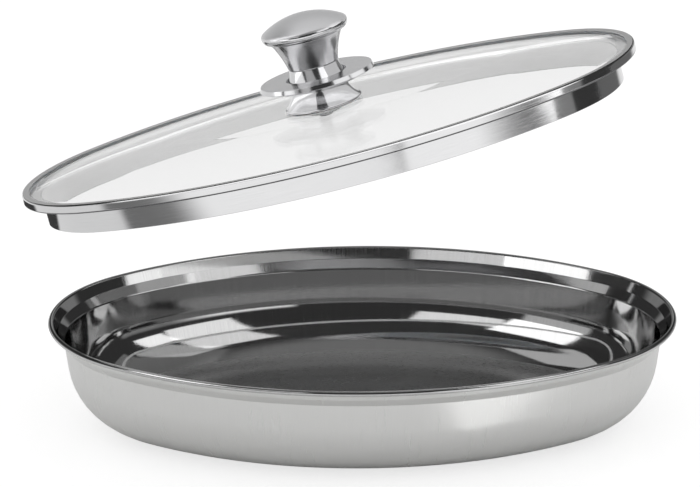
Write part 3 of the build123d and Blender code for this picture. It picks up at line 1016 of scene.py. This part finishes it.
# Grip. The flared body of the knob, polished, parted from the neck by a narrow groove. A boss on top
# centres the cap, and a socket below takes the threaded insert.
groove_radius = 14.4
groove_height = 0.5
body_foot_radius = 15.4
body_middle_radius = 17.4
body_middle_height = 7.6
body_top_radius = 22.4
body_height = 18.3
body_edge_round = 0.15
boss_radius = 18.0
boss_height = 1.2
insert_bore = 5.05
insert_length = 12.0
on_axis = 0.02
body_top = neck_top + body_height
boss_top = body_top + boss_height
socket_top = neck_top + insert_length


def arc_through(first, middle, last, count):
    """Points on the arc through three points. Its centre is where the lines that halve the two chords
    squarely cross."""
    first, middle, last = (np.asarray(v, float) for v in (first, middle, last))
    sides = 2 * np.array([middle - first, last - first])
    centre = np.linalg.solve(sides, [middle @ middle - first @ first, last @ last - first @ first])
    radius = np.hypot(*(first - centre))
    angles = np.unwrap([np.arctan2(*(p - centre)[::-1]) for p in (first, middle, last)])
    turn = np.linspace(angles[0], angles[2], count)
    return np.column_stack([centre[0] + radius * np.cos(turn), centre[1] + radius * np.sin(turn)])


grip_outline = np.vstack(
    [
        [
            (insert_bore, neck_top),
            (groove_radius, neck_top),
            (groove_radius, neck_top + groove_height),
        ],
        arc_through(
            (body_foot_radius, neck_top + groove_height),
            (body_middle_radius, neck_top + body_middle_height),
            (body_top_radius, body_top),
            16,
        ),
        [
            (boss_radius, body_top),
            (boss_radius, boss_top),
            (on_axis, boss_top),
            (on_axis, socket_top),
            (insert_bore, socket_top),
        ],
    ]
)
grip_grid = turned_grid(grip_outline, body_edge_round)
grip = skin("knob_grip", *lifted(*grip_grid), "lid", "knob_body", "knob_steel")
grip.data.materials.append(knob_polish)
seen_in_knob.objects.link(grip)


# Cap. A domed cap with a rolled-under edge, satin on top and polished round the edge, pressed over the
# boss on the grip.
cap_radius = 26.6
cap_lip_height = 4.1
cap_rise = 9.8
cap_edge_radius = 3.0
cap_clearance = 0.1
cap_corner_round = 0.15
cap_pole = 89.95
cap_rim = body_top + cap_lip_height
cap_top = cap_rim + cap_rise
cap_edge_centre = cap_radius - cap_edge_radius
cap_dome_squares = cap_edge_centre**2 + cap_rise**2 - cap_edge_radius**2
cap_dome_radius = cap_dome_squares / (2 * (cap_rise - cap_edge_radius))
cap_join = np.degrees(np.arctan2(cap_dome_radius - cap_rise, cap_edge_centre))

cap_outline = np.vstack(
    [
        [
            (on_axis, boss_top + cap_clearance),
            (boss_radius + cap_clearance, boss_top + cap_clearance),
            (boss_radius + cap_clearance, body_top),
        ],
        tangent_arc((cap_radius, cap_rim), (body_top_radius, body_top), straight_down, 12)[::-1],
        arc_line((cap_edge_centre, cap_rim), cap_edge_radius, 0, cap_join, 10)[1:],
        arc_line((0, cap_top - cap_dome_radius), cap_dome_radius, cap_join, cap_pole, 24)[1:],
    ]
)
cap_grid = turned_grid(cap_outline, cap_corner_round)
cap_rings, cap_normals, _ = cap_grid
cap_satin_slope = 0.3
cap_dome = (cap_normals[:, 0, 2] > cap_satin_slope) & (cap_rings[:, 0, 2] > cap_rim * mm)
cap = skin("knob_cap_dome", *lifted(*cap_grid), "lid", "knob_cap", "knob_steel", cap_dome)
cap.data.materials.append(knob_polish)
knob_satin = steel_finish("knob_satin", (0.66, 0.66, 0.67), 0.4, 0.04, (6, 6, 3500), 0.06, 0.03)
cap.data.materials.append(knob_satin)
seen_in_knob.objects.link(cap)


# Fastening. The screw, the steel washer that spreads its pull and the threaded insert are plain bright
# steel, and the two washers against the glass are silicone. They show through the glass.
bright_steel, fastener_tree = empty_finish("bright_fastener_steel")
fastener_place = shader_node(fastener_tree, "ShaderNodeTexCoord", {}, {}).outputs["Object"]
fastener_feeds = {"Vector": fastener_place, "Scale": 900.0, "Detail": 3.0}
fastener_noise = shader_node(fastener_tree, "ShaderNodeTexNoise", {}, fastener_feeds).outputs["Fac"]
fastener_steel = shader_node(
    fastener_tree,
    "ShaderNodeBsdfPrincipled",
    {},
    {
        "Base Color": (0.56, 0.56, 0.56, 1),
        "Metallic": 1.0,
        "Roughness": soft_step(fastener_tree, fastener_noise, 0.3, 0.7, 0.22, 0.36),
    },
)
shader_node(fastener_tree, "ShaderNodeOutputMaterial", {}, {"Surface": fastener_steel.outputs[0]})
for name, finish in (
    ("knob_screw", bright_steel),
    ("clamp_washer", bright_steel),
    ("knob_insert", bright_steel),
    ("glass_washer_upper", clear_silicone),
    ("glass_washer_lower", clear_silicone),
):
    frame["nodes"][name].data.materials.clear()
    frame["nodes"][name].data.materials.append(finish)
